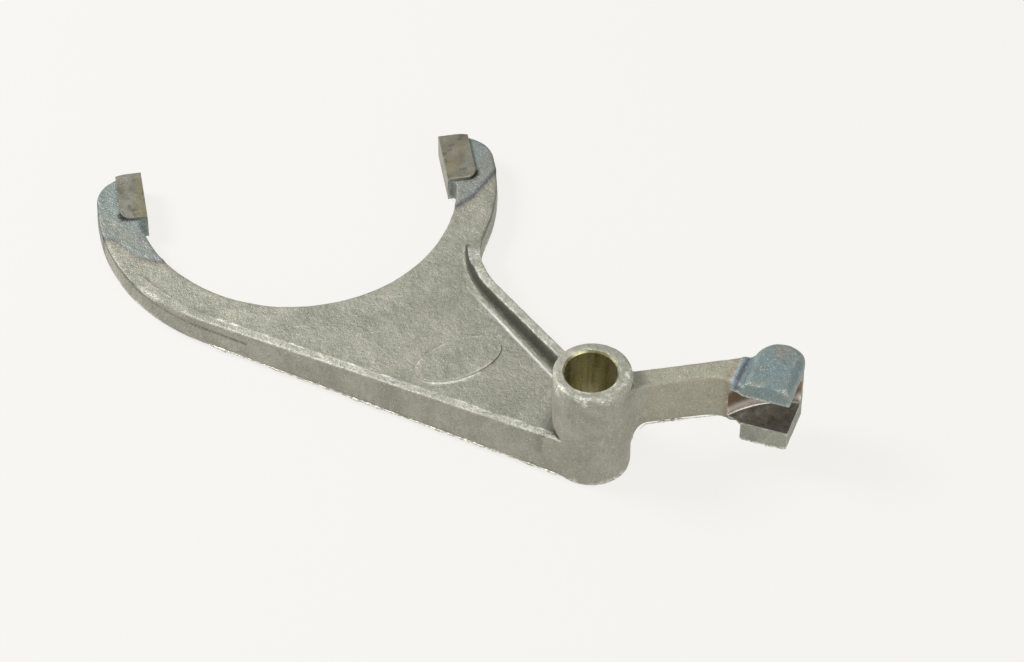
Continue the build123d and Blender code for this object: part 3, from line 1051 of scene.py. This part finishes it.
@dataclass
class TrimmedFlash:
    """Ragged remains of flash along the parting line and the trimmed edges."""

    runs: tuple[FlashRun, ...]
    step: float = 0.45
    sides: int = 8

    def strip(self, run: FlashRun) -> tuple[np.ndarray, np.ndarray]:
        """A flattened tube along a path, whose width follows noise.

        The path is walked at even steps. Round each place stands a ring whose outward
        half-width is the run's width times a ragged share, and whose half-height is the
        run's thickness times the same share's square root.

        Args:
            run: The run of flash.

        Returns:
            Points in millimetres and rows of four point numbers.
        """
        path = np.array(run.path, dtype=float)
        legs = np.linalg.norm(np.diff(path, axis=0), axis=1)
        walked = np.concatenate([[0.0], np.cumsum(legs)])
        count = max(int(walked[-1] / self.step), 8)
        s = np.linspace(0.0, walked[-1], count)
        line = np.stack([np.interp(s, walked, path[:, k]) for k in range(3)], axis=1)
        tangent = np.gradient(line, axis=0)
        tangent /= np.linalg.norm(tangent, axis=1, keepdims=True)
        outward = np.cross(tangent, (0.0, 0.0, 1.0))
        outward /= np.linalg.norm(outward, axis=1, keepdims=True)
        ragged = 0.5 + 0.5 * lattice_noise(line, 5.5, run.seed)
        ragged *= 0.6 + 0.4 * lattice_noise(line, 1.3, run.seed + 1)
        fade = np.clip(np.minimum(s, walked[-1] - s) / 3.0, 0.02, 1.0)
        ragged = np.clip(ragged, 0.03, 1.0) * fade
        turn = np.linspace(0.0, 2.0 * np.pi, self.sides, endpoint=False)
        across = np.cos(turn)[None, :, None] * outward[:, None, :]
        across = across * (run.width * ragged)[:, None, None]
        height = (run.thickness * np.sqrt(ragged))[:, None] * np.sin(turn)[None, :]
        rings = line[:, None, :] + across
        rings[:, :, 2] += height
        index = np.arange(count * self.sides).reshape(count, self.sides)
        a, b = index[:-1], index[1:]
        quads = np.stack([a, np.roll(a, -1, 1), np.roll(b, -1, 1), b], axis=2).reshape(-1, 4)
        return rings.reshape(-1, 3), quads

    def build(self) -> None:
        """Makes every run as its own closed piece."""
        finish = BrightFlash().build()
        for run in self.runs:
            points, quads = self.strip(run)
            piece = add_mesh(run.name, points, quads, [finish])
            close_ends(piece.data, len(points), self.sides)
            piece.data.shade_smooth()
            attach(piece, "root")
            LOG.info("%s: %d faces", piece.name, len(piece.data.polygons))


@dataclass
class Studio:
    """Pale floor, soft lamps, even world light and the camera."""

    camera_place: tuple[float, float, float] = (-0.203874, -0.998203, 1.191827)
    right: tuple[float, float, float] = (0.985421, -0.170129, 0.001439)
    up: tuple[float, float, float] = (0.124963, 0.729497, 0.672472)
    forward: tuple[float, float, float] = (0.115456, 0.662488, -0.740121)
    lens: float = 144.56
    floor_tone: str = "f6f4f0"
    floor_half: float = 6000.0
    floor_level: float = -0.25
    glow_strength: float = 0.975
    glow_share: float = 0.93
    lamp_aim: tuple[float, float, float] = (-0.03, 0.06, 0.02)

    def floor(self) -> bpy.types.Object:
        """A wide level floor whose tone is plain to the camera and keeps a soft shadow.

        Returns:
            The floor's object.
        """
        corners = ((-1.0, -1.0), (1.0, -1.0), (1.0, 1.0), (-1.0, 1.0))
        half, level = self.floor_half, self.floor_level
        points = np.array([(half * a, half * b, level) for a, b in corners])
        material = bpy.data.materials.new("pale_floor")
        material.use_nodes = True
        tree = material.node_tree
        shader = tree.nodes["Principled BSDF"]
        shader.inputs["Base Color"].default_value = (*colour(self.floor_tone), 1.0)
        shader.inputs["Roughness"].default_value = 0.9
        glow = tree.nodes.new("ShaderNodeEmission")
        glow.inputs["Color"].default_value = (*colour(self.floor_tone), 1.0)
        glow.inputs["Strength"].default_value = self.glow_strength
        rays = tree.nodes.new("ShaderNodeLightPath")
        seen = rays.outputs["Is Camera Ray"]
        for kind in ("Is Glossy Ray", "Is Transmission Ray"):
            either = tree.nodes.new("ShaderNodeMath")
            either.operation = "ADD"
            either.use_clamp = True
            tree.links.new(seen, either.inputs[0])
            tree.links.new(rays.outputs[kind], either.inputs[1])
            seen = either.outputs[0]
        share = tree.nodes.new("ShaderNodeMath")
        share.operation = "MULTIPLY"
        share.inputs[1].default_value = self.glow_share
        tree.links.new(seen, share.inputs[0])
        mix = tree.nodes.new("ShaderNodeMixShader")
        tree.links.new(share.outputs[0], mix.inputs["Fac"])
        tree.links.new(shader.outputs["BSDF"], mix.inputs[1])
        tree.links.new(glow.outputs["Emission"], mix.inputs[2])
        tree.links.new(mix.outputs["Shader"], tree.nodes["Material Output"].inputs["Surface"])
        piece = add_mesh("floor", points, np.array([[0, 1, 2, 3]]), [material])
        return piece

    def lamp(
        self, name: str, place: tuple[float, float, float], size: float, power: float
    ) -> None:
        """A soft square lamp that looks at the fork's middle.

        Args:
            name: The lamp's name.
            place: Where it hangs, in metres.
            size: Its edge length in metres.
            power: Its power in watts.
        """
        data = bpy.data.lights.new(name, "AREA")
        data.size = size
        data.energy = power
        lamp = bpy.data.objects.new(name, data)
        lamp.location = place
        aim = Vector(self.lamp_aim) - Vector(place)
        lamp.rotation_euler = aim.to_track_quat("-Z", "Y").to_euler()
        bpy.context.scene.collection.objects.link(lamp)

    def light(self) -> None:
        """The key from the upper left, a weak fill from the right and an even world."""
        self.lamp("key_lamp", (-0.85, 0.45, 0.95), 0.45, 17.5)
        self.lamp("fill_lamp", (0.7, -1.1, 0.7), 1.0, 9.0)
        self.lamp("top_lamp", (-0.1, 0.0, 1.6), 0.8, 2.5)
        world = bpy.data.worlds.new("even_light")
        world.use_nodes = True
        back = world.node_tree.nodes["Background"]
        back.inputs["Color"].default_value = (1.0, 0.995, 0.98, 1.0)
        back.inputs["Strength"].default_value = 0.5
        bpy.context.scene.world = world

    def camera(self) -> None:
        """The camera at the photograph's viewpoint."""
        data = bpy.data.cameras.new("camera")
        data.sensor_fit = "HORIZONTAL"
        data.sensor_width = 36.0
        data.lens = self.lens
        data.clip_start = 0.05
        data.clip_end = 50.0
        camera = bpy.data.objects.new("camera", data)
        columns = (Vector(self.right), Vector(self.up), -Vector(self.forward))
        turn = Matrix(columns).transposed().to_4x4()
        camera.matrix_world = Matrix.Translation(self.camera_place) @ turn
        bpy.context.scene.collection.objects.link(camera)
        bpy.context.scene.camera = camera

    def build(self) -> None:
        """Sets up the whole studio."""
        self.floor()
        self.light()
        self.camera()
        bpy.context.scene.view_settings.view_transform = "Standard"
        LOG.info("studio ready")


FLASH_RUNS = (
    FlashRun(
        "flash_near_wall",
        ((-136.0, 80.0, 1.9), (-100.0, 54.0, 1.9), (-60.0, 25.1, 1.9), (-12.0, -9.6, 1.9)),
        1.25,
        0.9,
        101,
    ),
    FlashRun(
        "flash_lever_edge",
        ((17.5, -5.2, 17.2), (20.5, -4.2, 19.6), (30.0, -4.1, 19.8), (49.0, -4.6, 19.8)),
        0.9,
        0.6,
        111,
    ),
    FlashRun("flash_lug_edge", ((56.0, -11.9, 12.9), (71.2, -19.9, 12.9)), 0.8, 0.6, 121),
    FlashRun(
        "flash_hub_side",
        ((15.3, -2.6, 7.0), (15.9, -3.2, 12.0), (16.9, -4.0, 16.8)),
        1.1,
        0.8,
        131,
    ),
    FlashRun(
        "flash_right_arm",
        ((-25.3, 106.0, 3.4), (-21.3, 112.3, 3.4), (-15.3, 125.0, 3.4), (-12.3, 135.8, 3.4)),
        0.5,
        0.4,
        141,
    ),
    FlashRun(
        "flash_hub_foot",
        (
            (-11.0, -10.6, 1.4),
            (-6.0, -13.9, 1.2),
            (0.6, -15.3, 1.2),
            (8.0, -13.3, 1.2),
            (13.4, -8.2, 1.4),
        ),
        0.5,
        0.4,
        151,
    ),
)


def main() -> None:
    """Builds the fork, its trimmed flash and the studio."""
    logging.basicConfig(level=logging.INFO, format="%(message)s")
    Casting().build()
    TrimmedFlash(FLASH_RUNS).build()
    Studio().build()


if __name__ == "__main__":
    main()
